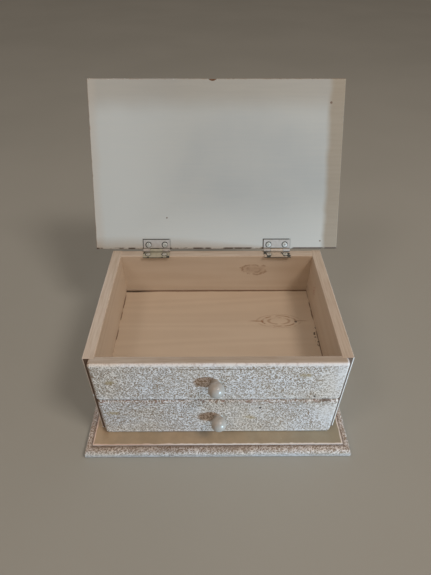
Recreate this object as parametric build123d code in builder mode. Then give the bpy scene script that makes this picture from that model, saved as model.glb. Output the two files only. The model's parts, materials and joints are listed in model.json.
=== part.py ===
from build123d import *
import os

# Small painted jewelry box: an open tray under a hinged lid, and a drawer below the tray.
# Millimetres. Origin at the centre of the base's underside; +Z up, +X to the right of a
# person facing the drawer, +Y to the back. The lid is modelled open, leaning back.

# ---- driving dimensions -------------------------------------------------------------------
# base board, with a moulded edge on its front and its two ends
BASE_WIDTH = 267.0
BASE_DEPTH = 188.0
BASE_THICKNESS = 12.0
MOULD_INSET = 7.5
MOULD_LEDGE_HEIGHT = 10.5
MOULD_LEDGE_FALL = 0.35
MOULD_NOSE_RADIUS = 3.5
MOULD_COVE_RADIUS = 0.9
MOULD_FOOT_RADIUS = 2.2

# carcase
CASE_WIDTH = 240.0
CASE_SETBACK = 27.7
RIM_HEIGHT = 121.5
WALL = 10.8
RIM_ROUND = 1.0

# tray floor, let into grooves in the sides and the back
FLOOR_TOP = 69.6
FLOOR_THICKNESS = 4.0
FLOOR_GROOVE = 3.0

# lipped fronts: a proud lip in front of the sides, and a tongue between them
FRONT_WIDTH = 230.5
LIP = 6.9
TONGUE = 2.4
LIP_ROUND = 3.2
UPPER_CORNER = 3.4
DRAWER_CORNER = 4.6
SPLIT_HEIGHT = 68.5
SPLIT_GAP = 0.7

# drawer box
DRAWER_SIDE_GAP = 0.5
DRAWER_WALL = 6.0
DRAWER_WALL_TOP = 61.5
DRAWER_BACK_GAP = 3.2
DRAWER_FOOT_GAP = 0.5
DRAWER_BOTTOM_RISE = 4.0
DRAWER_BOTTOM_THICKNESS = 3.0
DRAWER_GROOVE = 2.0

# ball knobs
KNOB_RADIUS = 7.5
KNOB_CENTRE = 8.3
KNOB_NECK_RADIUS = 3.9
KNOB_COLLAR_RADIUS = 4.8
KNOB_COLLAR = 0.6
KNOB_SCREW_BITE = 8.0
UPPER_KNOB = (-2.0, 96.2)
LOWER_KNOB = (0.6, 41.3)

# lid, opened past upright
LID_WIDTH = 277.0
LID_DEPTH = 182.5
LID_THICKNESS = 8.0
LID_LEAN = 28.5
LID_START = 1.2
LID_OUTER_ROUND = 3.4
LID_INNER_ROUND = 0.9
NOTCH_X = -4.3
NOTCH_RADIUS = 6.2
NOTCH_BEYOND = 3.7
NOTCH_DEPTH = 3.0

# butt hinges: a wide middle knuckle on the case leaf, two outer knuckles on the lid leaf
HINGE_X = 69.0
HINGE_WIDTH = 30.0
HINGE_REACH = 12.0
LEAF_THICKNESS = 1.0
KNUCKLE_RADIUS = 1.8
KNUCKLE_MIDDLE = 14.0
KNUCKLE_GAP = 0.3
KNUCKLE_RELIEF = 2.4
PIN_RADIUS = 0.95
PIN_CLEARANCE = 0.05
PIN_PROUD = 0.3
AXIS_OFFSET = 2.0
AXIS_INSET = 2.0
LEAF_SCREW_SPACING = 18.6
LEAF_SCREW_REACH = 6.2

# screws and pins
HOLE_CLEARANCE = 0.03
SCREW_POINT = 2.0
LEAF_SCREW = {"shank": 1.3, "head": 2.6, "length": 8.0, "dome": 0.55, "slot": 2.6}
BASE_SCREW = {"shank": 1.7, "head": 3.4, "length": 30.0, "dome": 0.0, "slot": 3.4}
KNOB_SCREW_SHANK = 1.6
KNOB_SCREW_HEAD = 3.2
KNOB_SCREW_HEAD_HEIGHT = 1.8
KNOB_SCREW_HEAD_ROUND = 0.8
SLOT_WIDTH = 0.7
SLOT_DEPTH = 0.8
BASE_SCREW_SINK = 0.4
BASE_SCREW_ROWS = (-45.0, 10.0, 65.0)
BASE_SCREW_BACK = (-60.0, 60.0)
NAIL_RADIUS = 0.7
NAIL_HEAD_RADIUS = 1.1
NAIL_HEAD = 0.8
CASE_NAIL = 26.0
CASE_NAIL_HEIGHTS = (30.0, 56.0, 100.0)
DRAWER_NAIL = 16.0
DRAWER_NAIL_HEIGHTS = (26.0, 52.0)

# ---- derived places -----------------------------------------------------------------------
FRONT_PLANE = -BASE_DEPTH / 2 + CASE_SETBACK
BACK_PLANE = BASE_DEPTH / 2
LIP_FACE = FRONT_PLANE - LIP
TONGUE_FACE = FRONT_PLANE + TONGUE
BACK_INNER = BACK_PLANE - WALL
INNER_HALF = CASE_WIDTH / 2 - WALL
FLOOR_UNDER = FLOOR_TOP - FLOOR_THICKNESS
AXIS_Y = BACK_PLANE - AXIS_INSET
AXIS_Z = RIM_HEIGHT + AXIS_OFFSET
DRAWER_HALF = INNER_HALF - DRAWER_SIDE_GAP
DRAWER_END = BACK_INNER - DRAWER_BACK_GAP

# local frame of the open lid: X along the hinges, Y away from them, Z to the lid's inner side
LID_PLANE = Plane(
    origin=(0, AXIS_Y, AXIS_Z),
    x_dir=(1, 0, 0),
    z_dir=Vector(0, -1, 0).rotate(Axis.X, -LID_LEAN),
)
# the same frame for the leaves on the rim: Y to the front, Z up
RIM_PLANE = Plane(origin=(0, AXIS_Y, AXIS_Z), x_dir=(-1, 0, 0), z_dir=(0, 0, 1))

# places on one hinge, from its middle: the leaf's two screws, and each leaf's knuckles
LEAF_SCREW_PLACES = [(side * LEAF_SCREW_SPACING / 2, LEAF_SCREW_REACH) for side in (-1, 1)]
MIDDLE_SPAN = (-KNUCKLE_MIDDLE / 2, KNUCKLE_MIDDLE / 2)
OUTER_SPANS = [
    (-HINGE_WIDTH / 2, -KNUCKLE_MIDDLE / 2 - KNUCKLE_GAP),
    (KNUCKLE_MIDDLE / 2 + KNUCKLE_GAP, HINGE_WIDTH / 2),
]


# ---- shared shapes, each along its own Z --------------------------------------------------
def screw_profile(spec, grow):
    """Half section of a countersunk screw in XZ, head level with z = 0, grown by a clearance."""
    shank = spec["shank"] + grow
    head = spec["head"] + grow
    tip = -spec["length"] - grow
    dome = spec["dome"]
    with BuildSketch(Plane.XZ) as profile:
        with BuildLine():
            Polyline(
                (0, dome),
                (0, tip),
                (shank, tip + SCREW_POINT * shank),
                (shank, shank - head),
                (head, 0),
            )
            if dome > 0:
                cap_radius = (head**2 + dome**2) / (2 * dome)
                RadiusArc((head, 0), (0, dome), -cap_radius)
            else:
                Line((head, 0), (0, 0))
        make_face()
    return profile.sketch


def countersunk_screw(spec):
    """Wood screw pointing down -Z, with a cross recess in its head."""
    with BuildPart() as screw:
        add(screw_profile(spec, 0.0))
        revolve(axis=Axis.Z)
        with BuildSketch(Plane.XY.offset(spec["dome"])):
            Rectangle(spec["slot"], SLOT_WIDTH)
            Rectangle(SLOT_WIDTH, spec["slot"])
        extrude(amount=-SLOT_DEPTH, mode=Mode.SUBTRACT)
    return screw.part


def screw_seat(spec):
    """The hole that a countersunk screw fills, to be cut from leaf and board."""
    with BuildPart() as seat:
        add(screw_profile(spec, HOLE_CLEARANCE))
        revolve(axis=Axis.Z)
    return seat.part


def headed_rod(radius, length, head_radius, head_height):
    """Nail or pan-head shank down -Z from z = 0, with its head above z = 0."""
    with BuildPart() as rod:
        with BuildSketch(Plane.XY):
            Circle(radius)
        extrude(amount=-length)
        with BuildSketch(Plane.XY):
            Circle(head_radius)
        extrude(amount=head_height)
    return rod.part


def nail(length, grow=0.0):
    """Panel pin down -Z with its head's top level with z = 0."""
    rod = headed_rod(NAIL_RADIUS + grow, length - NAIL_HEAD + grow, NAIL_HEAD_RADIUS + grow, NAIL_HEAD)
    return rod.moved(Location((0, 0, -NAIL_HEAD)))


def knob_screw(depth):
    """Slotted pan-head screw down -Z, its head standing on z = 0."""
    with BuildPart() as screw:
        add(headed_rod(KNOB_SCREW_SHANK, depth, KNOB_SCREW_HEAD, KNOB_SCREW_HEAD_HEIGHT))
        fillet(screw.faces().sort_by(Axis.Z)[-1].edges(), radius=KNOB_SCREW_HEAD_ROUND)
        with BuildSketch(Plane.XY.offset(KNOB_SCREW_HEAD_HEIGHT)):
            Rectangle(2 * KNOB_SCREW_HEAD, SLOT_WIDTH)
        extrude(amount=-SLOT_DEPTH, mode=Mode.SUBTRACT)
    return screw.part


def ball_knob():
    """Turned ball knob standing up +Z from z = 0, bored for its screw."""
    neck_top = KNOB_CENTRE - (KNOB_RADIUS**2 - KNOB_NECK_RADIUS**2) ** 0.5
    cove = KNOB_COLLAR_RADIUS - KNOB_NECK_RADIUS
    cove_end = KNOB_COLLAR + cove
    with BuildPart() as knob:
        with BuildSketch(Plane.XZ):
            with BuildLine():
                Polyline((0, 0), (KNOB_COLLAR_RADIUS, 0), (KNOB_COLLAR_RADIUS, KNOB_COLLAR))
                RadiusArc(
                    (KNOB_COLLAR_RADIUS, KNOB_COLLAR),
                    (KNOB_NECK_RADIUS, cove_end),
                    cove,
                )
                Line((KNOB_NECK_RADIUS, cove_end), (KNOB_NECK_RADIUS, neck_top))
                ThreePointArc(
                    (KNOB_NECK_RADIUS, neck_top),
                    (KNOB_RADIUS, KNOB_CENTRE),
                    (0, KNOB_CENTRE + KNOB_RADIUS),
                )
                Line((0, KNOB_CENTRE + KNOB_RADIUS), (0, 0))
            make_face()
        revolve(axis=Axis.Z)
        with BuildSketch(Plane.XY):
            Circle(KNOB_SCREW_SHANK + HOLE_CLEARANCE)
        extrude(amount=KNOB_SCREW_BITE + HOLE_CLEARANCE, mode=Mode.SUBTRACT)
    return knob.part


def hinge_leaf(plane, own_spans, other_spans):
    """One leaf: plate on its mounting face, its own knuckles, reliefs for the other's."""
    knuckle_plane = Plane(origin=plane.origin, x_dir=plane.y_dir, z_dir=plane.x_dir)
    seat_plane = plane.offset(LEAF_THICKNESS - AXIS_OFFSET)
    with BuildPart() as leaf:
        with BuildSketch(plane.offset(-AXIS_OFFSET)):
            with Locations((0, HINGE_REACH / 2)):
                Rectangle(HINGE_WIDTH, HINGE_REACH)
        extrude(amount=LEAF_THICKNESS)
        for start, end in other_spans:
            with BuildSketch(plane.offset(-AXIS_OFFSET)):
                with Locations(((start + end) / 2, 0)):
                    Rectangle(end - start + 2 * KNUCKLE_GAP, 2 * KNUCKLE_RELIEF)
            extrude(amount=LEAF_THICKNESS, mode=Mode.SUBTRACT)
        for start, end in own_spans:
            with BuildSketch(knuckle_plane.offset(start)):
                Circle(KNUCKLE_RADIUS)
            extrude(amount=end - start)
        with BuildSketch(knuckle_plane.offset(-HINGE_WIDTH)):
            Circle(PIN_RADIUS + PIN_CLEARANCE)
        extrude(amount=2 * HINGE_WIDTH, mode=Mode.SUBTRACT)
        with Locations(seat_plane):
            with Locations(*LEAF_SCREW_PLACES):
                add(screw_seat(LEAF_SCREW), mode=Mode.SUBTRACT)
    return leaf.part


def shifted(plane, x):
    """The plane moved along the hinge axis to a hinge's middle."""
    return Plane(origin=plane.origin + Vector(x, 0, 0), x_dir=plane.x_dir, z_dir=plane.z_dir)


def leaf_screw_locations(plane):
    """Places of the four screws that hold one kind of leaf, heads in the leaf's face."""
    places = []
    for hinge_x in (-HINGE_X, HINGE_X):
        seat = shifted(plane, hinge_x).offset(LEAF_THICKNESS - AXIS_OFFSET)
        places += [seat.location * Location((x, y, 0)) for x, y in LEAF_SCREW_PLACES]
    return places


def block(low, high):
    """Square-cornered board between two corners."""
    size = [b - a for a, b in zip(low, high)]
    centre = tuple((a + b) / 2 for a, b in zip(low, high))
    with BuildPart() as board:
        with Locations(centre):
            Box(*size)
    return board.part


def base_screw_locations():
    """Screws up through the base: three into each side, two into the back."""
    side_x = CASE_WIDTH / 2 - WALL / 2
    spots = [(x, y) for x in (-side_x, side_x) for y in BASE_SCREW_ROWS]
    spots += [(x, BACK_PLANE - WALL / 2) for x in BASE_SCREW_BACK]
    return [Plane(origin=(x, y, BASE_SCREW_SINK), z_dir=(0, 0, -1)).location for x, y in spots]


def case_nail_locations():
    """Pins through the sides into the ends of the back."""
    places = []
    for side in (-1, 1):
        for height in CASE_NAIL_HEIGHTS:
            head = (side * CASE_WIDTH / 2, BACK_PLANE - WALL / 2, height)
            places.append(Plane(origin=head, z_dir=(side, 0, 0)).location)
    return places


def drawer_nail_locations():
    """Pins through the drawer's sides into the ends of its back."""
    places = []
    for side in (-1, 1):
        for height in DRAWER_NAIL_HEIGHTS:
            head = (side * DRAWER_HALF, DRAWER_END - DRAWER_WALL / 2, height)
            places.append(Plane(origin=head, z_dir=(side, 0, 0)).location)
    return places


def finish_part(part, name):
    """Label a finished piece and write its STEP file."""
    part.label = name
    export_step(part, f"parts/{name}.step")


os.makedirs("parts", exist_ok=True)


# ---- base board ---------------------------------------------------------------------------
def moulded_edge(edge, inward):
    """Edge outline from the underside to the top, at a board edge; inward is +1 or -1."""
    def at(inset, height):
        return (edge + inward * inset, height)

    foot = MOULD_FOOT_RADIUS
    nose = MOULD_NOSE_RADIUS
    cove = MOULD_COVE_RADIUS
    ledge = MOULD_LEDGE_HEIGHT
    nose_top = ledge - MOULD_LEDGE_FALL
    cove_foot = MOULD_INSET - cove
    bow = 1 - 0.5**0.5
    ThreePointArc(at(foot, 0), at(bow * foot, bow * foot), at(0, foot))
    Line(at(0, foot), at(0, nose_top - nose))
    ThreePointArc(at(0, nose_top - nose), at(bow * nose, nose_top - bow * nose), at(nose, nose_top))
    Line(at(nose, nose_top), at(cove_foot, ledge))
    ThreePointArc(
        at(cove_foot, ledge),
        at(MOULD_INSET - bow * cove, ledge + bow * cove),
        at(MOULD_INSET, ledge + cove),
    )
    Line(at(MOULD_INSET, ledge + cove), at(MOULD_INSET, BASE_THICKNESS))


with BuildPart() as base_plate:
    with BuildSketch(Plane.YZ):
        with BuildLine():
            front = -BASE_DEPTH / 2
            moulded_edge(front, 1)
            Polyline(
                (front + MOULD_INSET, BASE_THICKNESS),
                (BACK_PLANE, BASE_THICKNESS),
                (BACK_PLANE, 0),
                (front + MOULD_FOOT_RADIUS, 0),
            )
        make_face()
    extrude(amount=BASE_WIDTH / 2, both=True)
    with BuildSketch(Plane.XZ):
        with BuildLine():
            end = BASE_WIDTH / 2
            moulded_edge(-end, 1)
            Line((-end + MOULD_INSET, BASE_THICKNESS), (end - MOULD_INSET, BASE_THICKNESS))
            moulded_edge(end, -1)
            Line((end - MOULD_FOOT_RADIUS, 0), (-end + MOULD_FOOT_RADIUS, 0))
        make_face()
    extrude(amount=BASE_DEPTH / 2, both=True, mode=Mode.INTERSECT)
    with Locations(*base_screw_locations()):
        add(screw_seat(BASE_SCREW), mode=Mode.SUBTRACT)
        Cylinder(
            BASE_SCREW["head"] + HOLE_CLEARANCE,
            2 * BASE_SCREW_SINK,
            align=(Align.CENTER, Align.CENTER, Align.MIN),
            mode=Mode.SUBTRACT,
        )
finish_part(base_plate.part, "base_plate")

# ---- carcase walls and tray floor -----------------------------------------------------------
for side, name in ((-1, "left_side_panel"), (1, "right_side_panel")):
    inner = side * INNER_HALF
    outer = side * CASE_WIDTH / 2
    groove = side * (INNER_HALF + FLOOR_GROOVE)
    with BuildPart() as side_panel:
        add(
            block(
                (min(inner, outer), FRONT_PLANE, BASE_THICKNESS),
                (max(inner, outer), BACK_PLANE, RIM_HEIGHT),
            )
        )
        rim_edges = side_panel.edges().group_by(Axis.Z)[-1].filter_by(Axis.Y)
        outer_edges = side_panel.edges().filter_by(Axis.Z).sort_by(Axis.X)
        outer_edges = outer_edges[:2] if side < 0 else outer_edges[2:]
        fillet(rim_edges + outer_edges, radius=RIM_ROUND)
        add(
            block(
                (min(inner, groove), FRONT_PLANE, FLOOR_UNDER),
                (max(inner, groove), BACK_INNER + FLOOR_GROOVE, FLOOR_TOP),
            ),
            mode=Mode.SUBTRACT,
        )
        with Locations(*base_screw_locations()):
            add(screw_seat(BASE_SCREW), mode=Mode.SUBTRACT)
        with Locations(*case_nail_locations()):
            add(nail(CASE_NAIL, HOLE_CLEARANCE), mode=Mode.SUBTRACT)
    finish_part(side_panel.part, name)

with BuildPart() as back_panel:
    add(block((-INNER_HALF, BACK_INNER, BASE_THICKNESS), (INNER_HALF, BACK_PLANE, RIM_HEIGHT)))
    fillet(back_panel.edges().group_by(Axis.Z)[-1].filter_by(Axis.X), radius=RIM_ROUND)
    add(
        block(
            (-INNER_HALF, BACK_INNER, FLOOR_UNDER),
            (INNER_HALF, BACK_INNER + FLOOR_GROOVE, FLOOR_TOP),
        ),
        mode=Mode.SUBTRACT,
    )
    with Locations(*base_screw_locations()):
        add(screw_seat(BASE_SCREW), mode=Mode.SUBTRACT)
    with Locations(*case_nail_locations()):
        add(nail(CASE_NAIL, HOLE_CLEARANCE), mode=Mode.SUBTRACT)
    with Locations(*leaf_screw_locations(RIM_PLANE)):
        add(screw_seat(LEAF_SCREW), mode=Mode.SUBTRACT)
finish_part(back_panel.part, "back_panel")

with BuildPart() as tray_floor:
    add(
        block(
            (-INNER_HALF - FLOOR_GROOVE, FRONT_PLANE, FLOOR_UNDER),
            (INNER_HALF + FLOOR_GROOVE, BACK_INNER + FLOOR_GROOVE, FLOOR_TOP),
        )
    )
finish_part(tray_floor.part, "tray_floor")


# ---- fronts, knobs and knob screws ----------------------------------------------------------
def lipped_front(low, high, corner, tongue_low, tongue_high, tongue_half, knob_place):
    """Front board: rounded proud lip, tongue behind it, and a hole for the knob's screw."""
    knob_x, knob_z = knob_place
    height = high - low
    with BuildPart() as front_board:
        with BuildSketch(Plane.XZ.offset(-FRONT_PLANE)):
            with Locations((0, (low + high) / 2)):
                RectangleRounded(FRONT_WIDTH, height, corner)
        extrude(amount=LIP)
        fillet(front_board.faces().sort_by(Axis.Y)[0].edges(), radius=LIP_ROUND)
        add(
            block(
                (-tongue_half, FRONT_PLANE, tongue_low),
                (tongue_half, TONGUE_FACE, tongue_high),
            )
        )
        with BuildSketch(Plane.XZ.offset(-TONGUE_FACE)):
            with Locations((knob_x, knob_z)):
                Circle(KNOB_SCREW_SHANK + HOLE_CLEARANCE)
        extrude(amount=LIP + TONGUE, mode=Mode.SUBTRACT)
    return front_board.part


with BuildPart() as upper_front:
    add(
        lipped_front(
            SPLIT_HEIGHT,
            RIM_HEIGHT,
            UPPER_CORNER,
            FLOOR_TOP,
            RIM_HEIGHT,
            INNER_HALF,
            UPPER_KNOB,
        )
    )
    inner_edge = upper_front.faces().sort_by(Axis.Y)[-1].edges().sort_by(Axis.Z)[-1]
    fillet(inner_edge, radius=RIM_ROUND)
finish_part(upper_front.part, "upper_front")

DRAWER_FOOT = BASE_THICKNESS + DRAWER_FOOT_GAP
DRAWER_BOTTOM_LOW = BASE_THICKNESS + DRAWER_BOTTOM_RISE
DRAWER_BOTTOM_HIGH = DRAWER_BOTTOM_LOW + DRAWER_BOTTOM_THICKNESS
DRAWER_INNER_HALF = DRAWER_HALF - DRAWER_WALL
bottom_board = block(
    (-DRAWER_INNER_HALF - DRAWER_GROOVE, TONGUE_FACE - DRAWER_GROOVE, DRAWER_BOTTOM_LOW),
    (DRAWER_INNER_HALF + DRAWER_GROOVE, DRAWER_END - DRAWER_WALL + DRAWER_GROOVE, DRAWER_BOTTOM_HIGH),
)

with BuildPart() as drawer_front:
    add(
        lipped_front(
            DRAWER_FOOT,
            SPLIT_HEIGHT - SPLIT_GAP,
            DRAWER_CORNER,
            DRAWER_FOOT,
            FLOOR_UNDER - SPLIT_GAP,
            DRAWER_HALF,
            LOWER_KNOB,
        )
    )
    add(bottom_board, mode=Mode.SUBTRACT)
finish_part(drawer_front.part, "drawer_front")

knob_shape = ball_knob()
knob_screw_shape = knob_screw(LIP + TONGUE + KNOB_SCREW_BITE)
for name, (knob_x, knob_z) in (("upper_knob", UPPER_KNOB), ("drawer_knob", LOWER_KNOB)):
    with BuildPart() as knob:
        with Locations(Plane(origin=(knob_x, LIP_FACE, knob_z), z_dir=(0, -1, 0))):
            add(knob_shape)
    finish_part(knob.part, name)
    with BuildPart() as screw:
        with Locations(Plane(origin=(knob_x, TONGUE_FACE, knob_z), z_dir=(0, 1, 0))):
            add(knob_screw_shape)
    finish_part(screw.part, f"{name}_screw")

# ---- drawer box -----------------------------------------------------------------------------
for side, name in ((-1, "drawer_left_side"), (1, "drawer_right_side")):
    inner = side * DRAWER_INNER_HALF
    outer = side * DRAWER_HALF
    with BuildPart() as drawer_side:
        add(
            block(
                (min(inner, outer), TONGUE_FACE, BASE_THICKNESS),
                (max(inner, outer), DRAWER_END, DRAWER_WALL_TOP),
            )
        )
        add(bottom_board, mode=Mode.SUBTRACT)
        with Locations(*drawer_nail_locations()):
            add(nail(DRAWER_NAIL, HOLE_CLEARANCE), mode=Mode.SUBTRACT)
    finish_part(drawer_side.part, name)

with BuildPart() as drawer_back:
    add(
        block(
            (-DRAWER_INNER_HALF, DRAWER_END - DRAWER_WALL, BASE_THICKNESS),
            (DRAWER_INNER_HALF, DRAWER_END, DRAWER_WALL_TOP),
        )
    )
    add(bottom_board, mode=Mode.SUBTRACT)
    with Locations(*drawer_nail_locations()):
        add(nail(DRAWER_NAIL, HOLE_CLEARANCE), mode=Mode.SUBTRACT)
finish_part(drawer_back.part, "drawer_back")

with BuildPart() as drawer_bottom:
    add(bottom_board)
finish_part(drawer_bottom.part, "drawer_bottom")

# ---- lid ------------------------------------------------------------------------------------
with BuildPart() as lid_panel:
    with BuildSketch(LID_PLANE.offset(-AXIS_OFFSET)):
        with Locations((0, LID_START + LID_DEPTH / 2)):
            Rectangle(LID_WIDTH, LID_DEPTH)
    extrude(amount=-LID_THICKNESS)
    away = Axis(LID_PLANE.origin, LID_PLANE.y_dir)
    inward = Axis(LID_PLANE.origin, LID_PLANE.z_dir)
    outer_edges = lid_panel.faces().sort_by(inward)[0].edges().sort_by(away)[1:]
    fillet(outer_edges, radius=LID_OUTER_ROUND)
    inner_edges = lid_panel.faces().sort_by(inward)[-1].edges()
    fillet(inner_edges, radius=LID_INNER_ROUND)
    with BuildSketch(LID_PLANE.offset(-AXIS_OFFSET - NOTCH_DEPTH)):
        with Locations((NOTCH_X, LID_START + LID_DEPTH + NOTCH_BEYOND)):
            Circle(NOTCH_RADIUS)
    extrude(amount=NOTCH_DEPTH, mode=Mode.SUBTRACT)
    with Locations(*leaf_screw_locations(LID_PLANE)):
        add(screw_seat(LEAF_SCREW), mode=Mode.SUBTRACT)
finish_part(lid_panel.part, "lid_panel")

# ---- hinges ---------------------------------------------------------------------------------
for hinge, hinge_x in (("left_hinge", -HINGE_X), ("right_hinge", HINGE_X)):
    case_leaf = hinge_leaf(shifted(RIM_PLANE, hinge_x), [MIDDLE_SPAN], OUTER_SPANS)
    finish_part(case_leaf, f"{hinge}_case_leaf")
    lid_leaf = hinge_leaf(shifted(LID_PLANE, hinge_x), OUTER_SPANS, [MIDDLE_SPAN])
    finish_part(lid_leaf, f"{hinge}_lid_leaf")
    with BuildPart() as hinge_pin:
        pin_end = hinge_x - HINGE_WIDTH / 2 - PIN_PROUD
        with BuildSketch(Plane(origin=(pin_end, AXIS_Y, AXIS_Z), z_dir=(1, 0, 0))):
            Circle(PIN_RADIUS)
        extrude(amount=HINGE_WIDTH + 2 * PIN_PROUD)
        fillet(hinge_pin.edges().filter_by(GeomType.CIRCLE), radius=PIN_PROUD)
    finish_part(hinge_pin.part, f"{hinge}_pin")

# ---- fasteners, each kind one group of separate solids --------------------------------------
leaf_screw = countersunk_screw(LEAF_SCREW)
FASTENERS = (
    ("case_hinge_screws", leaf_screw, leaf_screw_locations(RIM_PLANE)),
    ("lid_hinge_screws", leaf_screw, leaf_screw_locations(LID_PLANE)),
    ("base_screws", countersunk_screw(BASE_SCREW), base_screw_locations()),
    ("case_nails", nail(CASE_NAIL), case_nail_locations()),
    ("drawer_nails", nail(DRAWER_NAIL), drawer_nail_locations()),
)
for name, shape, places in FASTENERS:
    with BuildPart() as fasteners:
        with Locations(*places):
            add(shape)
    finish_part(fasteners.part, name)
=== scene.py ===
"""Looks of a painted jewelry box: crackle-glazed boards, washed tray, painted hinges and knobs."""
import json
import math

import bpy
from mathutils import Matrix, Vector


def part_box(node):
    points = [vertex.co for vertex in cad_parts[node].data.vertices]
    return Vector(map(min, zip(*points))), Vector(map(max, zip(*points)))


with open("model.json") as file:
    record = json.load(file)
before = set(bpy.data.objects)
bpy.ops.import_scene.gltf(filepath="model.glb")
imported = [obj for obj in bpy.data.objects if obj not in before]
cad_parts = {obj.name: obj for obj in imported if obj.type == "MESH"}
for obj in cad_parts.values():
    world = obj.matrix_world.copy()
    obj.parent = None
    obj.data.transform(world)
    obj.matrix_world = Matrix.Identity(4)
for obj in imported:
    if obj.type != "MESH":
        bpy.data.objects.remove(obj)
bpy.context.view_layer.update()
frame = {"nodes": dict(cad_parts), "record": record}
nodes = frame["nodes"]

MM = 0.001
RIGHT, LEFT = (1, 0, 0), (-1, 0, 0)
BACK, FRONT = (0, 1, 0), (0, -1, 0)
UP, DOWN = (0, 0, 1), (0, 0, -1)

# ---- linear colours -----------------------------------------------------------------------------
# crackle paint, from its top coat down
COOL_WHITE = (0.77, 0.73, 0.72)
WARM_WHITE = (0.76, 0.66, 0.57)
# painted light: a white for edges that lie in shade and for highlights along edges
PAINTED_LIGHT_WHITE = (0.88, 0.83, 0.79)
BEIGE = (0.37, 0.29, 0.222)
TAN = (0.29, 0.213, 0.15)
BROWN = (0.13, 0.075, 0.045)
RUST = (0.24, 0.11, 0.07)
GAP = (0.035, 0.020, 0.013)
OCHRE_STAIN = (0.36, 0.25, 0.10)
# washed wood inside the tray
FLOOR_WASH = (0.668, 0.571, 0.459)
FLOOR_DEEP = (0.592, 0.493, 0.388)
# painted light that lifts the shade at the floor's right end
FLOOR_PAINTED_LIGHT = (0.86, 0.74, 0.60)
JOINT_BROWN = (0.13, 0.06, 0.03)
WALL_WASH = (0.75, 0.665, 0.565)
WALL_DEEP = (0.66, 0.56, 0.455)
# painted shade at the right end of the back board's inner face
WALL_PAINTED_SHADE = (0.42, 0.27, 0.14)
# painted shade on the right board's inner face
RIGHT_WALL_SHADE = (0.30, 0.20, 0.14)
RED_STAIN = (0.45, 0.13, 0.10)
KNOT = (0.30, 0.16, 0.08)
# painted top edges
RIM_TINTS = ((0.66, 0.60, 0.52), (0.62, 0.54, 0.47))
RIM_FIBRE = (0.50, 0.42, 0.33)
FRONT_RIM_TINTS = ((0.55, 0.50, 0.435), (0.50, 0.44, 0.38))
FRONT_RIM_FIBRE = (0.40, 0.32, 0.25)
# base board
BASE_TOP_TINTS = ((0.44, 0.355, 0.24), (0.35, 0.34, 0.265))
BASE_PATCH_TINTS = ((0.49, 0.32, 0.18), (0.36, 0.33, 0.26))
BASE_TOP_LEFT = (0.50, 0.345, 0.21)
BASE_TOP_RIGHT = (0.325, 0.335, 0.27)
BASE_GRIME = (0.27, 0.225, 0.155)
# painted highlight along the base top's outer edge, pinker at its left
BASE_ARRIS_HIGHLIGHT_LEFT = (0.72, 0.55, 0.46)
BASE_NOSE = (0.30, 0.36, 0.42)
# lid
CREAM = (0.395, 0.391, 0.368)
CREAM_SOFT = (0.452, 0.437, 0.397)
CREAM_PALE = (0.53, 0.52, 0.48)
# painted shadow on the lid's inner face, along its top and right
CREAM_SHADOW = (0.29, 0.224, 0.154)
CREAM_LEFT = (0.49, 0.42, 0.345)
# bare wood and painted shadow of the gap to the case, along the lid's foot
LID_FOOT_BARE_AND_SHADE = (0.07, 0.042, 0.028)
# bare wood with painted shade, in the lid's notch
NOTCH_WOOD_IN_SHADE = (0.22, 0.11, 0.055)
# bare wood, knobs and metal
BARE = (0.50, 0.35, 0.21)
BARE_DARK = (0.36, 0.22, 0.12)
BARE_DUSTY = (0.56, 0.43, 0.29)
KNOB_TINTS = ((0.46, 0.43, 0.39), (0.41, 0.385, 0.35))
# dirt and painted shade on and round the hinge leaves
METAL_DIRT_AND_SHADE = (0.050, 0.055, 0.050)
CHIPPED_STEEL = (0.06, 0.05, 0.04)
SCREW_TINTS = ((0.52, 0.53, 0.48), (0.60, 0.61, 0.59))
LID_LEAF_TINTS = ((0.45, 0.42, 0.385), (0.50, 0.475, 0.45))
CASE_LEAF_TINTS = ((0.42, 0.41, 0.32), (0.50, 0.49, 0.40))
RIM_LEAF_TINTS = ((0.52, 0.44, 0.36), (0.60, 0.52, 0.43))
ZINC_TINTS = ((0.50, 0.48, 0.44), (0.34, 0.31, 0.27))
# studio
STUDIO_FLOOR_TINTS = ((0.42, 0.44, 0.42), (0.44, 0.46, 0.44))
WINDOW_LIGHT = (0.546, 0.796, 1.0)
LAMP_LIGHT = (1.0, 0.85, 0.73)
FILL_LIGHT = (0.90, 0.95, 1.0)
WORLD_LIGHT = (1.0, 0.82, 0.68, 1)
WORLD_STRENGTH = 0.27


# ---- camera -----------------------------------------------------------------------------------
SENSOR_WIDTH = 36


def look_from(place, pitch, yaw, roll, lens):
    """Camera at a place, pitched down, yawed to the left and rolled, all in degrees."""
    p, y, r = (math.radians(a) for a in (pitch, yaw, roll))
    forward = Vector((-math.sin(y) * math.cos(p), math.cos(y) * math.cos(p), -math.sin(p)))
    right = Vector((math.cos(y), math.sin(y), 0))
    up = right.cross(forward)
    rolled_right = math.cos(r) * right + math.sin(r) * up
    rolled_up = math.cos(r) * up - math.sin(r) * right
    camera = bpy.data.objects.new("camera", bpy.data.cameras.new("camera"))
    camera.data.sensor_width = SENSOR_WIDTH
    camera.data.lens = lens
    turn = Matrix((rolled_right, rolled_up, -forward)).transposed().to_4x4()
    camera.matrix_world = Matrix.Translation(place) @ turn
    bpy.context.collection.objects.link(camera)
    bpy.context.scene.camera = camera


look_from(place=(-0.0050, -0.3122, 0.4158), pitch=40.81, yaw=-0.52, roll=0.16, lens=27.02)


# ---- node materials ---------------------------------------------------------------------------
EDGE_WEAR = 2.6 * MM
EDGE_RAGGED = 2 * MM


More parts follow.
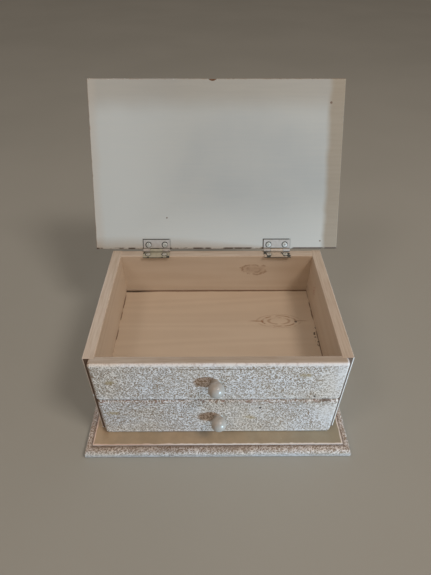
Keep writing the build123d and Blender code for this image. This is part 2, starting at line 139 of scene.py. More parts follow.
class Paint:
    """One node material, with short calls for the maths behind its colour, gloss and relief."""

    def __init__(self, name):
        self.material = bpy.data.materials.new(name)
        self.material.use_nodes = True
        self.tree = self.material.node_tree
        self.shader = self.tree.nodes["Principled BSDF"]
        coordinates = self.tree.nodes.new("ShaderNodeTexCoord")
        self.place = coordinates.outputs["Object"]
        self.normal = coordinates.outputs["Normal"]

    def node(self, kind, inputs, **settings):
        """A node with its settings made and its inputs linked or filled."""
        node = self.tree.nodes.new(kind)
        for key, value in settings.items():
            setattr(node, key, value)
        for key, value in inputs.items():
            if isinstance(value, bpy.types.NodeSocket):
                self.tree.links.new(value, node.inputs[key])
            else:
                node.inputs[key].default_value = value
        return node

    def math(self, operation, *values):
        return self.node("ShaderNodeMath", dict(enumerate(values)), operation=operation).outputs[0]

    def plus(self, first, second):
        return self.math("ADD", first, second)

    def minus(self, first, second):
        return self.math("SUBTRACT", first, second)

    def apart(self, first, second):
        """How far two values are from each other."""
        return self.math("ABSOLUTE", self.minus(first, second))

    def vector(self, operation, *values):
        node = self.node("ShaderNodeVectorMath", dict(enumerate(values)), operation=operation)
        return node.outputs["Value" if operation in ("DOT_PRODUCT", "LENGTH") else "Vector"]

    def split(self, vector):
        return self.node("ShaderNodeSeparateXYZ", {0: vector}).outputs

    def flat(self, across, up):
        """Vector from two values, with no depth."""
        return self.node("ShaderNodeCombineXYZ", {0: across, 1: up}).outputs[0]

    def turned(self, directions, origin):
        """Measures place and normal along other directions, place from another origin."""
        moved = self.vector("SUBTRACT", self.place, origin)
        sources = {"place": moved, "normal": self.normal}
        for key, source in sources.items():
            parts = {i: self.vector("DOT_PRODUCT", source, d) for i, d in enumerate(directions)}
            setattr(self, key, self.node("ShaderNodeCombineXYZ", parts).outputs[0])

    def facing(self, direction):
        """Mask of the faces that look along a direction."""
        return self.step(self.vector("DOT_PRODUCT", self.normal, direction), 0.55, 0.8)

    def step(self, value, low, high, to_low=0.0, to_high=1.0):
        """Smooth step from to_low to to_high as the value goes from low to high."""
        inputs = {"Value": value, "From Min": low, "From Max": high, "To Min": to_low, "To Max": to_high}
        return self.node("ShaderNodeMapRange", inputs, interpolation_type="SMOOTHSTEP").outputs[0]

    def all_of(self, *masks):
        """Product of masks, and of a number for how strong they are together."""
        product = masks[0]
        for mask in masks[1:]:
            product = self.math("MULTIPLY", product, mask)
        return product

    def any_of(self, *masks):
        largest = masks[0]
        for mask in masks[1:]:
            largest = self.math("MAXIMUM", largest, mask)
        return largest

    def no(self, mask):
        return self.minus(1.0, mask)

    def noise(self, scale, seed, detail=2.0, roughness=0.5, stretch=(1, 1, 1), warp=None, output="Fac"):
        """Fractal noise with a scale in cells per metre; stretch squeezes it along the axes."""
        place = self.place if warp is None else warp
        if stretch != (1, 1, 1):
            place = self.vector("MULTIPLY", place, stretch)
        inputs = {"Vector": place, "W": seed, "Scale": scale, "Detail": detail, "Roughness": roughness}
        return self.node("ShaderNodeTexNoise", inputs, noise_dimensions="4D").outputs[output]

    def wander(self, amount, scale, seed, detail=2.0):
        """Noise centred on zero, times an amount."""
        return self.math("MULTIPLY", self.minus(self.noise(scale, seed, detail), 0.5), amount)

    def mix(self, factor, first, second):
        """Colour that goes from first to second with the factor."""
        inputs = {"Factor": factor, 6: colour_value(first), 7: colour_value(second)}
        return self.node("ShaderNodeMix", inputs, data_type="RGBA").outputs[2]

    def mottle(self, scale, seed, first, second, spread=0.18, **options):
        """Two colours in soft patches."""
        patches = self.noise(scale, seed, **options)
        return self.mix(self.step(patches, 0.5 - spread, 0.5 + spread), first, second)

    def flecks(self, scale, seed, amount, **options):
        """Small specks; amount is the noise level above which one shows."""
        return self.step(self.noise(scale, seed, **options), amount, amount + 0.05)

    def spot(self, centre, radii, ragged=0.0, seed=0.0):
        """Distance from a centre in units of the radii, made ragged by noise."""
        offset = self.vector("DIVIDE", self.vector("SUBTRACT", self.place, centre), radii)
        distance = self.vector("LENGTH", offset)
        if ragged == 0.0:
            return distance
        return self.plus(distance, self.wander(ragged, 300, seed))

    def speck(self, centre, radius, seed=0.0):
        return self.step(self.spot(centre, (radius,) * 3, ragged=0.8, seed=seed), 1.15, 0.85)

    def edge_distance(self, low, high):
        """Distance from the nearest edge of a box, on its faces."""
        centre = (Vector(low) + Vector(high)) / 2
        half = (Vector(high) - Vector(low)) / 2
        from_centre = self.vector("ABSOLUTE", self.vector("SUBTRACT", self.place, centre))
        x, y, z = self.split(self.vector("SUBTRACT", half, from_centre))
        nearer = self.math("MINIMUM", x, y)
        further = self.math("MAXIMUM", x, y)
        return self.math("MAXIMUM", nearer, self.math("MINIMUM", further, z))

    def near_edge(self, low, high, solid, **noise_options):
        """Mask of a ragged strip along a box's edges, solid up to a distance from them."""
        ragged = self.math("MULTIPLY", self.noise(**noise_options), EDGE_RAGGED)
        return self.step(self.plus(self.edge_distance(low, high), ragged), EDGE_WEAR, solid)

    def relief(self, height, depth, strength=1.0, under=None):
        """Bump from a height of 0 to 1 that stands for a depth in metres."""
        inputs = {"Strength": strength, "Distance": depth, "Height": height}
        if under is not None:
            inputs["Normal"] = under
        return self.node("ShaderNodeBump", inputs).outputs[0]

    def finish(self, colour, roughness, relief=None):
        for key, value in {"Base Color": colour, "Roughness": roughness, "Normal": relief}.items():
            if isinstance(value, bpy.types.NodeSocket):
                self.tree.links.new(value, self.shader.inputs[key])
            elif value is not None:
                self.shader.inputs[key].default_value = value
        return self.material


def colour_value(value):
    return value if isinstance(value, bpy.types.NodeSocket) else (*value, 1.0)


def assign(material, *names):
    for name in names:
        mesh = nodes[name].data
        mesh.materials.clear()
        mesh.materials.append(material)


# ---- surfaces that several pieces share ---------------------------------------------------------
CRACKLE_DEPTH = 0.25 * MM
GRAIN_DEPTH = 0.08 * MM
BRUSH_DEPTH = 0.15 * MM
RING_BANDS = 14.0
WASH_GRAIN = 0.45
# two sizes of worm: cells per metre, seed, and how far from its middle noise level one reaches
WORMS = ((380, 1.7, 0.075), (500, 8.3, 0.05))


def crackle(paint, whiter=0.0, browner=0.0):
    """Worm-like ridges of white topcoat over a beige undercoat; masks push it whiter or browner."""
    drift = paint.noise(90, 3.1, detail=1.0, output="Color")
    drift = paint.vector("MULTIPLY", paint.vector("SUBTRACT", drift, (0.5,) * 3), (3 * MM,) * 3)
    warped = paint.vector("ADD", paint.place, drift)
    worms = []
    for scale, seed, width in WORMS:
        level = paint.noise(scale, seed, detail=0.6, warp=warped)
        worms.append(paint.step(paint.apart(level, 0.5), width, 0.3 * width))
    cover = paint.plus(paint.wander(0.6, 45, 5.5, detail=3.0), 0.06)
    cover = paint.plus(cover, paint.all_of(whiter, 0.8))
    cover = paint.minus(cover, paint.all_of(browner, 0.7))
    film = paint.step(paint.plus(paint.any_of(*worms), cover), 0.1, 0.95)
    under = paint.mottle(28, 2.2, BEIGE, TAN, detail=4.0)
    under = paint.mix(paint.all_of(browner, 0.75), under, BROWN)
    top = paint.mottle(22, 6.4, COOL_WHITE, WARM_WHITE, detail=3.0)
    return paint.mix(film, under, top), film


def streaks(along, squeeze):
    """Stretch for noise that runs in streaks along one axis."""
    return tuple(squeeze if axis == along else 1.0 for axis in "xyz")


def grain_height(paint, along, seed):
    """Height of sawn softwood: long wavy rings and fine pores, running along one axis."""
    wave = paint.noise(16, seed, stretch=streaks(along, 0.06))
    bands = paint.apart(paint.math("FRACT", paint.all_of(wave, RING_BANDS)), 0.5)
    pores = paint.noise(900, seed + 1, stretch=streaks(along, 0.03))
    return paint.plus(paint.all_of(bands, 1.2), paint.all_of(pores, 0.5))


def wood(paint, grain, pale, dark):
    """Wood that is pale where its grain stands high and dark where it is low."""
    return paint.mix(paint.step(grain, 0.25, 0.85), dark, pale)


def washed(paint, grain, seed, pale, deep):
    """Thin beige paint that lets faint grain through."""
    patches = paint.mottle(14, seed + 2, pale, deep, detail=4.0, spread=0.35)
    return paint.mix(WASH_GRAIN, patches, wood(paint, grain, pale, deep))


def painted_rim(paint, along, seeds, tints, fibre, strength):
    """Plain paint on a board's top edge, with fibres of the wood showing through."""
    rim = paint.mottle(60, seeds[0], *tints, detail=5.0, spread=0.3)
    threads = paint.noise(700, seeds[1], detail=3.0, stretch=streaks(along, 0.05))
    low_threads = paint.no(paint.step(threads, 0.36, 0.6))
    return paint.mix(paint.all_of(low_threads, strength), rim, fibre)


# ---- places from the frame ---------------------------------------------------------------------
front_low, front_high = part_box("upper_front")
drawer_low, drawer_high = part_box("drawer_front")
floor_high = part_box("tray_floor")[1]
base_low, base_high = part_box("base_plate")
back_low, back_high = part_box("back_panel")
left_low, left_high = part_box("left_side_panel")
front_face_y = front_low[1]
drawer_face_y = drawer_low[1]
wall_face_y = back_low[1]
inner_half = -left_high[0]
tray_floor_z = floor_high[2]
rim_z = back_high[2]


# ---- carcase ----------------------------------------------------------------------------------
CARCASE_CRACKLE_DEPTH = 0.22 * MM
BACK_KNOT_X = 44.8 * MM
BACK_KNOT_Z = 102 * MM
BACK_KNOT_RADII = (15 * MM, 60 * MM, 7.2 * MM)
RED_STAIN_DEPTH = 10.8 * MM
RED_STAIN_Y = 52 * MM
RED_STAIN_Z = 98 * MM
RED_STAIN_RADII = (30 * MM, 6 * MM, 9 * MM)


def carcase_material(node, inward, along, seed):
    """Crackle paint outside, washed paint inside and a plain painted top edge."""
    low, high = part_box(node)
    paint = Paint(f"{node}_paint")
    z = paint.split(paint.place)[2]
    near_edge = paint.near_edge(low, high, 1.0 * MM, scale=160, seed=seed + 3, detail=3.0)
    outer, film = crackle(paint, whiter=paint.step(near_edge, 0.0, 1.0, 0.15, 0.4))
    chips = paint.all_of(near_edge, paint.flecks(240, seed + 4, 0.58, detail=3.0), 0.8)
    outer = paint.mix(chips, outer, BROWN)

    rim = painted_rim(paint, along, (seed + 5, seed + 6), RIM_TINTS, RIM_FIBRE, 0.6)
    # painted highlight along the borders of the top edge
    rim = paint.mix(paint.all_of(near_edge, paint.noise(120, seed + 7)), rim, WARM_WHITE)

    grain = grain_height(paint, along, seed)
    inside = washed(paint, grain, seed, WALL_WASH, WALL_DEEP)
    corner_dirt = paint.step(paint.apart(z, tray_floor_z), 1.6 * MM, 0.2 * MM)
    inside = paint.mix(paint.all_of(corner_dirt, 0.5), inside, KNOT)
    bare = wood(paint, grain_height(paint, along, seed + 8), BARE, BARE_DARK)
    inside = paint.mix(paint.step(z, tray_floor_z, tray_floor_z - 1 * MM), inside, bare)

    on_top = paint.all_of(paint.facing(UP), paint.step(z, rim_z - 4 * MM, rim_z - 2 * MM))
    is_inside = paint.facing(inward)
    colour = paint.mix(is_inside, outer, inside)
    colour = paint.mix(on_top, colour, rim)
    crackled = paint.all_of(paint.no(on_top), paint.no(is_inside))
    relief = paint.relief(grain, GRAIN_DEPTH, strength=0.5)
    height = paint.all_of(film, crackled)
    relief = paint.relief(height, CARCASE_CRACKLE_DEPTH, strength=0.9, under=relief)
    return paint, colour, relief


def back_knot_and_shade(paint, colour):
    """Faint knot on the back board's inner face, with painted shade darkening it towards its right end.
    """
    x = paint.split(paint.place)[0]
    inner = paint.facing(FRONT)
    centre = (BACK_KNOT_X, wall_face_y, BACK_KNOT_Z)
    knot = paint.spot(centre, BACK_KNOT_RADII, ragged=0.5, seed=4.0)
    knot = paint.plus(knot, paint.wander(1.3, 90, 41.0, detail=3.0))
    patchy = paint.step(paint.noise(130, 43.0, detail=3.0), 0.38, 0.6)
    for ring, strength in ((1.0, 0.6), (0.5, 0.4)):
        line = paint.step(paint.apart(knot, ring), 0.22, 0.02)
        colour = paint.mix(paint.all_of(line, inner, patchy, strength), colour, KNOT)
    colour = paint.mix(paint.all_of(paint.step(knot, 1.1, 0.6), inner, 0.2), colour, KNOT)
    # painted shadow of the right board, towards the back board's right end
    dark_end = paint.step(x, 55 * MM, 100 * MM, 0.0, 0.3)
    return paint.mix(paint.all_of(dark_end, inner), colour, WALL_PAINTED_SHADE)


def front_end(paint, colour):
    """Front end of a side board brightened with painted light, with a dark band of painted shade and
    dirt beside the lipped fronts.
    """
    x, y, z = paint.split(paint.place)
    ahead = paint.facing(FRONT)
    above_base = paint.step(z, base_high[2], base_high[2] + 4 * MM)
    # painted light on the front end, which the lip keeps in shade
    colour = paint.mix(paint.all_of(ahead, above_base, 0.9), colour, PAINTED_LIGHT_WHITE)
    past_lip = paint.minus(paint.math("ABSOLUTE", x), front_high[0])
    # painted shade and dirt in the corner beside the lip
    gap = paint.all_of(
        paint.step(past_lip, 3.8 * MM, 3.3 * MM),
        paint.step(y, front_face_y + 9 * MM, front_face_y + 8 * MM),
        ahead,
        0.95,
    )
    return paint.mix(gap, colour, BROWN)


def inner_shade_and_stains(paint, colour):
    """Painted shade darkening the inner face of the right board, with a few red stains."""
    inner = paint.facing(LEFT)
    # painted shade: this face looks away from the light from the right
    colour = paint.mix(paint.all_of(inner, 0.16), colour, RIGHT_WALL_SHADE)
    centre = (-left_low[0] - RED_STAIN_DEPTH, RED_STAIN_Y, RED_STAIN_Z)
    stains = paint.spot(centre, RED_STAIN_RADII, ragged=0.5, seed=9.0)
    stained = paint.all_of(paint.step(stains, 1.0, 0.4), paint.flecks(420, 3.3, 0.52))
    marks = paint.all_of(stained, inner, 0.7)
    return paint.mix(marks, colour, RED_STAIN)


for node, inward, along, seed, touches in (
    ("left_side_panel", RIGHT, "y", 11.0, (front_end,)),
    ("right_side_panel", LEFT, "y", 23.0, (front_end, inner_shade_and_stains)),
    ("back_panel", FRONT, "x", 37.0, (back_knot_and_shade,)),
):
    paint, colour, relief = carcase_material(node, inward, along, seed)
    for touch in touches:
        colour = touch(paint, colour)
    assign(paint.finish(colour, roughness=0.62, relief=relief), node)


# ---- lipped fronts ----------------------------------------------------------------------------
FRONT_ROUGHNESS = 0.58
STAIN_RADII = (7 * MM, 20 * MM, 4 * MM)
CRACK_Z = 114.5 * MM
CRACK_RADII = (45 * MM, 20 * MM, 0.75 * MM)
CORNER_CHIP_X = 102 * MM
CORNER_CHIP_DROP = 1.2 * MM
CORNER_CHIP_RADII = (6 * MM, 20 * MM, 1.3 * MM)


def front_material(name, low, high, top_rust, rim_top, stains):
    """Crackle paint, whiter at its right end and its foot, browner and rusty along its top, with painted
    shade browning its left end and darkening the returns beside its lip.

    Stains are places across and up in mm; rim_top gives the front a painted top edge.
    """
    paint = Paint(name)
    x, y, z = paint.split(paint.place)
    wander = paint.wander(8 * MM, 110, 14.0, detail=3.0)
    to_right = paint.minus(high[0], x)
    to_left = paint.minus(x, low[0])
    from_bottom = paint.minus(z, low[2])
    from_top = paint.minus(high[2], z)
    right_end = paint.step(paint.plus(to_right, wander), 28 * MM, 6 * MM)
    bottom_edge = paint.step(paint.plus(from_bottom, wander), 7 * MM, 2 * MM)
    # painted shade along the left end, which looks away from the light
    shaded_left_end = paint.step(paint.plus(to_left, wander), 7 * MM, 1.5 * MM)
    top_band = paint.step(paint.plus(from_top, wander), 10 * MM, 1 * MM)
    whiter = paint.any_of(paint.all_of(right_end, 0.55), paint.all_of(bottom_edge, 0.6))
    if rim_top:
        from_rim = paint.plus(from_top, paint.all_of(wander, 0.3))
        whiter = paint.any_of(whiter, paint.step(from_rim, 5 * MM, 2 * MM))
    left_half = paint.step(x, 0, -90 * MM, 0.0, 0.24)
    rusty = paint.all_of(top_band, 0.5 * top_rust)
    browner = paint.any_of(paint.all_of(shaded_left_end, 0.55), rusty, left_half)
    colour, film = crackle(paint, whiter, browner)

    rust = paint.all_of(top_band, paint.flecks(300, 16.0, 0.54, detail=3.0), top_rust)
    colour = paint.mix(rust, colour, RUST)
    for across, up in stains:
        stain = paint.spot((across * MM, low[1], up * MM), STAIN_RADII, ragged=2.2, seed=up)
        colour = paint.mix(paint.step(stain, 1.1, 0.2, 0.0, 0.6), colour, OCHRE_STAIN)

    # painted shade: dark returns beside the lip, where the front meets the side boards, and on the lip's
    # left-facing side
    outer_edge = paint.step(paint.math("MINIMUM", to_right, to_left), 1.2 * MM, 0.4 * MM)
    behind_lip = paint.step(y, front_face_y + 4.6 * MM, front_face_y + 6.6 * MM)
    colour = paint.mix(paint.all_of(outer_edge, behind_lip), colour, BROWN)
    past_face = paint.step(y, front_face_y + 1.2 * MM, front_face_y + 2.4 * MM)
    colour = paint.mix(paint.all_of(paint.facing(LEFT), past_face, 0.8), colour, BROWN)

    inside = washed(paint, grain_height(paint, "x", 51.0), 51.0, WALL_WASH, WALL_DEEP)
    is_back = paint.facing(BACK)
    colour = paint.mix(is_back, colour, inside)
    if rim_top:
        rim = painted_rim(paint, "x", (55.0, 57.0), FRONT_RIM_TINTS, FRONT_RIM_FIBRE, 0.5)
        level = paint.vector("DOT_PRODUCT", paint.normal, UP)
        on_top = paint.all_of(paint.step(level, 0.86, 0.97), paint.step(from_top, 3 * MM, 1 * MM))
        colour = paint.mix(on_top, colour, rim)
        film = paint.all_of(film, paint.no(on_top))
    relief = paint.relief(paint.all_of(film, paint.no(is_back)), CRACKLE_DEPTH, strength=0.9)
    return paint, colour, relief


def upper_front():
    """The tray's front, with a fine crack along its top and one dark speck."""
    stains = ((-98, 96), (78, 106))
    paint, colour, relief = front_material(
        "upper_front_paint", front_low, front_high, top_rust=0.25, rim_top=True, stains=stains
    )
    crack = paint.spot((0, front_face_y, CRACK_Z), CRACK_RADII, ragged=0.6, seed=3.0)
    colour = paint.mix(paint.all_of(paint.step(crack, 1.1, 0.6), 0.7), colour, BROWN)
    speck = paint.speck((90.2 * MM, front_face_y, 74.4 * MM), 1.1 * MM)
    colour = paint.mix(speck, colour, GAP)
    assign(paint.finish(colour, FRONT_ROUGHNESS, relief), "upper_front")


def drawer_front():
    """The drawer's front, with one dark speck and a chip at its top right corner."""
    stains = ((32, 40), (-103, 48))
    paint, colour, relief = front_material(
        "drawer_front_paint", drawer_low, drawer_high, top_rust=0.6, rim_top=False, stains=stains
    )
    speck = paint.speck((40.6 * MM, drawer_face_y, 55.9 * MM), 1.3 * MM)
    colour = paint.mix(speck, colour, GAP)
    chip_place = (CORNER_CHIP_X, drawer_face_y, drawer_high[2] - CORNER_CHIP_DROP)
    chip = paint.spot(chip_place, CORNER_CHIP_RADII, ragged=0.8, seed=5.0)
    colour = paint.mix(paint.all_of(paint.step(chip, 1.1, 0.7), 0.85), colour, BROWN)
    assign(paint.finish(colour, FRONT_ROUGHNESS, relief), "drawer_front")


upper_front()
drawer_front()


# ---- tray floor -------------------------------------------------------------------------------
KNOT_X = 69.6 * MM
KNOT_Y = 30.7 * MM
KNOT_HALF_LENGTH = 19 * MM
KNOT_HALF_WIDTH = 8 * MM
HOLE_X = 88.5 * MM
HOLE_Y = 29.6 * MM
DOTS_X = 96 * MM
DOTS_RADII = (8 * MM, 3 * MM, 9 * MM)
CHIPPED_Y = 8 * MM
CHIPPED_RADII = (3 * MM, 16 * MM, 9 * MM)


def floor_knot(paint, colour, x, y):
    """Flame-shaped knot with thin tails along the grain and a worm hole at its right."""
    across = paint.plus(paint.minus(y, KNOT_Y), paint.wander(3.5 * MM, 60, 72.0))
    along = paint.minus(x, KNOT_X)
    size = (KNOT_HALF_LENGTH, KNOT_HALF_WIDTH, 1.0)
    eye = paint.vector("LENGTH", paint.vector("DIVIDE", paint.flat(along, across), size))
    for ring, width, strength in ((1.0, 0.10, 0.85), (0.62, 0.14, 0.5), (1.3, 0.10, 0.3)):
        line = paint.step(paint.apart(eye, ring), width, 0.2 * width)
        broken = paint.step(paint.noise(140, 75.0 + ring), 0.36, 0.55)
        colour = paint.mix(paint.all_of(line, broken, strength), colour, KNOT)
    reach = paint.math("ABSOLUTE", along)
    tails = paint.all_of(
        paint.step(paint.math("ABSOLUTE", across), 1.1 * MM, 0.3 * MM),
        paint.step(reach, 16 * MM, KNOT_HALF_LENGTH),
        paint.step(reach, 36 * MM, 26 * MM),
        0.75,
    )
    colour = paint.mix(tails, colour, KNOT)
    hole = paint.speck((HOLE_X, HOLE_Y, tray_floor_z), 1.5 * MM, seed=2.0)
    colour = paint.mix(hole, colour, GAP)
    beside_hole = paint.spot((DOTS_X, HOLE_Y, tray_floor_z), DOTS_RADII)
    dots = paint.all_of(paint.step(beside_hole, 1.0, 0.5), paint.flecks(600, 78.0, 0.6))
    return paint.mix(dots, colour, KNOT)


def floor_joints(paint, colour, x, y):
    """Open joints along the back and both sides, darkest at the back's left end."""
    uneven = paint.all_of(paint.noise(70, 81.0, detail=4.0), 1.6 * MM)
    to_back = paint.plus(paint.minus(wall_face_y, y), uneven)
    dark_end = paint.step(x, -70 * MM, -95 * MM)
    wide_end = paint.all_of(paint.step(to_back, 4.1 * MM, 3.2 * MM), dark_end)
    back_joint = paint.any_of(paint.step(to_back, 3.1 * MM, 2.1 * MM), wide_end)
    joint_colour = paint.mix(dark_end, JOINT_BROWN, GAP)
    colour = paint.mix(paint.all_of(back_joint, 0.9), colour, joint_colour)
    to_side = paint.plus(paint.minus(inner_half, paint.math("ABSOLUTE", x)), uneven)
    open_here = paint.step(paint.noise(55, 84.0), 0.42, 0.56)
    side_joint = paint.all_of(paint.step(to_side, 2.3 * MM, 1.5 * MM), open_here, 0.8)
    colour = paint.mix(side_joint, colour, BROWN)
    chipped = paint.spot((inner_half - 1.5 * MM, CHIPPED_Y, tray_floor_z), CHIPPED_RADII)
    chips = paint.all_of(paint.step(chipped, 1.1, 0.7), paint.flecks(420, 86.0, 0.54))
    return paint.mix(chips, colour, GAP)


def floor_material():
    """Washed boards with a knot, a little dirt, open joints and painted light at the right end, bare
    underneath.
    """
    paint = Paint("tray_floor_wash")
    x, y = paint.split(paint.place)[:2]
    grain = grain_height(paint, "x", 71.0)
    colour = washed(paint, grain, 71.0, FLOOR_WASH, FLOOR_DEEP)
    colour = floor_knot(paint, colour, x, y)
    dirt = paint.all_of(paint.flecks(210, 89.0, 0.74, detail=3.0), 0.55)
    colour = paint.mix(dirt, colour, KNOT)
    # painted light lifting the shade along the floor's right end
    colour = paint.mix(paint.step(x, 80 * MM, 95 * MM, 0.0, 0.3), colour, FLOOR_PAINTED_LIGHT)
    colour = floor_joints(paint, colour, x, y)
    bare = wood(paint, grain_height(paint, "x", 88.0), BARE, BARE_DARK)
    colour = paint.mix(paint.facing(DOWN), colour, bare)
    relief = paint.relief(grain, GRAIN_DEPTH, strength=0.5)
    assign(paint.finish(colour, roughness=0.55, relief=relief), "tray_floor")


floor_material()


# ---- base board -------------------------------------------------------------------------------
ARRIS_INSET = 7.5 * MM
NOSE_Z = 7.5 * MM
COVE_Z = 10 * MM
RISER_LOW_Z = 10.2 * MM
RISER_HIGH_Z = 11.4 * MM


def base_edge(paint, x, z):
    """Crackled moulding: white and bluish on the nose, brown above it, with a dark riser."""
    low_on_nose = paint.step(z, NOSE_Z, 2 * MM, 0.0, 0.5)
    whiter = paint.all_of(low_on_nose, paint.step(x, -100 * MM, 60 * MM, 0.1, 0.9))
    above_nose = paint.step(z, 7 * MM, COVE_Z, 0.0, 0.55)
    browner = paint.all_of(above_nose, paint.step(x, 100 * MM, 20 * MM, 0.3, 1.0))
    colour, film = crackle(paint, whiter, browner)
    colour = paint.mix(paint.step(z, NOSE_Z, 3 * MM, 0.0, 0.36), colour, BASE_NOSE)
    riser_foot = paint.step(z, RISER_LOW_Z, RISER_LOW_Z + 0.4 * MM)
    riser_head = paint.step(z, RISER_HIGH_Z, RISER_HIGH_Z - 0.3 * MM)
    return paint.mix(paint.all_of(riser_foot, riser_head, 0.8), colour, BROWN), film


def base_top(paint, x, y):
    """Thin tan paint, redder at the left and greyer at the right, with a pale painted highlight along
    the edge round it.
    """
    top = paint.mottle(9, 92.0, *BASE_TOP_TINTS, detail=3.0, spread=0.25)
    patches = paint.mottle(26, 93.0, *BASE_PATCH_TINTS, detail=4.0, spread=0.3)
    top = paint.mix(0.45, top, patches)
    drift = paint.plus(x, paint.all_of(paint.noise(22, 97.0, detail=3.0), 90 * MM))
    top = paint.mix(paint.step(drift, 90 * MM, -30 * MM, 0.0, 0.45), top, BASE_TOP_LEFT)
    top = paint.mix(paint.step(drift, 60 * MM, 130 * MM, 0.0, 0.5), top, BASE_TOP_RIGHT)
    grime = paint.noise(34, 98.0, detail=5.0, roughness=0.6)
    top = paint.mix(paint.step(grime, 0.42, 0.66, 0.0, 0.42), top, BASE_GRIME)
    flecks = paint.all_of(paint.flecks(330, 94.0, 0.67, detail=4.0), 0.6)
    top = paint.mix(flecks, top, WARM_WHITE)
    to_front = paint.minus(y, base_low[1])
    to_side = paint.minus(base_high[0], paint.math("ABSOLUTE", x))
    border = paint.math("MINIMUM", to_front, to_side)
    border = paint.plus(border, paint.wander(2.4 * MM, 150, 91.0, detail=4.0))
    # painted highlight along the top's outer edge, pinker at its left, white elsewhere
    arris = paint.step(border, ARRIS_INSET + 1.5 * MM, ARRIS_INSET + 0.9 * MM)
    arris_highlight_colour = paint.mix(paint.step(x, -90 * MM, -20 * MM), BASE_ARRIS_HIGHLIGHT_LEFT, PAINTED_LIGHT_WHITE)
    return paint.mix(arris, top, arris_highlight_colour)


def base_material():
    """Painted top and crackled edges, bare underneath; the top is glossier."""
    paint = Paint("base_paint")
    x, y, z = paint.split(paint.place)
    edge_colour, film = base_edge(paint, x, z)
    on_top = paint.step(z, base_high[2] - 0.9 * MM, base_high[2] - 0.3 * MM)
    colour = paint.mix(on_top, edge_colour, base_top(paint, x, y))
    bare = wood(paint, grain_height(paint, "x", 96.0), BARE, BARE_DARK)
    colour = paint.mix(paint.facing(DOWN), colour, bare)
    relief = paint.relief(paint.all_of(film, paint.no(on_top)), CRACKLE_DEPTH, strength=0.9)
    roughness = paint.mix(on_top, (0.6,) * 3, (0.38,) * 3)
    assign(paint.finish(colour, roughness, relief), "base_plate")


base_material()


# ---- the leaning lid's own frame -----------------------------------------------------------------
LID_LEAN = math.radians(28.5)
hinge = next(j for j in frame["record"]["behaviour"]["joints"] if j["name"] == "lid_hinge")
lid_origin = Vector(hinge["pos_m"])
lid_directions = (
    RIGHT,
    (0, math.sin(LID_LEAN), math.cos(LID_LEAN)),
    (0, -math.cos(LID_LEAN), math.sin(LID_LEAN)),
)
lid_points = [v.co - lid_origin for v in nodes["lid_panel"].data.vertices]
lid_low, lid_high = (
    [pick(p.dot(Vector(d)) for p in lid_points) for d in lid_directions] for pick in (min, max)
)

# places on the hinges, measured from the hinge axis
leaf_low, leaf_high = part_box("left_hinge_case_leaf")
leaf_reach = lid_origin[1] - leaf_low[1]
leaf_half = (leaf_high[0] - leaf_low[0]) / 2
hinge_x = -(leaf_low[0] + leaf_high[0]) / 2
case_directions = (RIGHT, FRONT, UP)


def from_mirrored(paint, value, distance):
    """Signed distance from the nearer of two places at plus and minus a distance."""
    nearer = paint.all_of(paint.math("SIGN", value), distance)
    return paint.minus(value, nearer)


# ---- lid --------------------------------------------------------------------------------------
# marks on the inner face: how far across and up from the hinge axis, and radius, in mm
LID_MARKS = ((123.9, 159.6, 1.2), (-56.6, 36.9, 0.8), (118.9, 10.3, 0.8))
NOTCH_X = -4.3 * MM
NOTCH_RADIUS = 6.4 * MM
NOTCH_RISE = 3.7 * MM
NOTCH_DEPTH = 3.3 * MM


def leaf_outline(paint, x, away):
    """Thin dark line just outside a leaf's border, painted shadow of the leaf's edge with some dirt,
    fainter along its right edge.
    """
    side = from_mirrored(paint, x, hinge_x)
    beside = paint.minus(paint.math("ABSOLUTE", side), leaf_half)
    beyond = paint.minus(away, leaf_reach)
    outside = paint.math("MAXIMUM", beside, beyond)
    line = paint.all_of(
        paint.step(outside, 1.3 * MM, 0.8 * MM),
        paint.step(outside, -0.4 * MM, -0.1 * MM),
    )
    return paint.all_of(line, paint.step(side, leaf_half - 1 * MM, leaf_half, 0.95, 0.35))


def lid_inner(paint, x, away, brushed):
    """Smooth cream inner face: paler at the left and foot, warmer and darker with painted shadow along
    its top and right.
    """
    wander = paint.wander(10 * MM, 25, 101.0, detail=3.0)
    to_right = paint.plus(paint.minus(lid_high[0], x), wander)
    to_top = paint.plus(paint.minus(lid_high[1], away), wander)
    to_left = paint.plus(paint.minus(x, lid_low[0]), wander)
    paler_left = paint.step(x, -20 * MM, -120 * MM)
    paler = paint.any_of(paler_left, paint.step(away, 70 * MM, 5 * MM))
    top_band = paint.step(to_top, 40 * MM, 12 * MM)
    right_shadow_band = paint.step(to_right, 20 * MM, 12 * MM)
    left_band = paint.step(to_left, 12 * MM, 2 * MM)
    colour = paint.mottle(9, 102.0, CREAM, CREAM_SOFT, detail=3.0, spread=0.2)
    colour = paint.mix(paint.all_of(paler, 0.85), colour, CREAM_PALE)
    # painted shadow along the top and the right of the inner face
    colour = paint.mix(paint.all_of(top_band, 0.45), colour, CREAM_SHADOW)
    colour = paint.mix(paint.all_of(right_shadow_band, 0.85), colour, CREAM_SHADOW)
    colour = paint.mix(paint.all_of(left_band, 0.5), colour, CREAM_LEFT)
    for across, up, radius in LID_MARKS:
        place = (across * MM, up * MM, lid_high[2])
        colour = paint.mix(paint.speck(place, radius * MM, seed=across), colour, BROWN)
    # painted shadow and dirt round the hinge leaves
    colour = paint.mix(leaf_outline(paint, x, away), colour, METAL_DIRT_AND_SHADE)
    return paint.mix(paint.step(brushed, 0.3, 0.75, 0.0, 0.06), colour, WALL_DEEP)


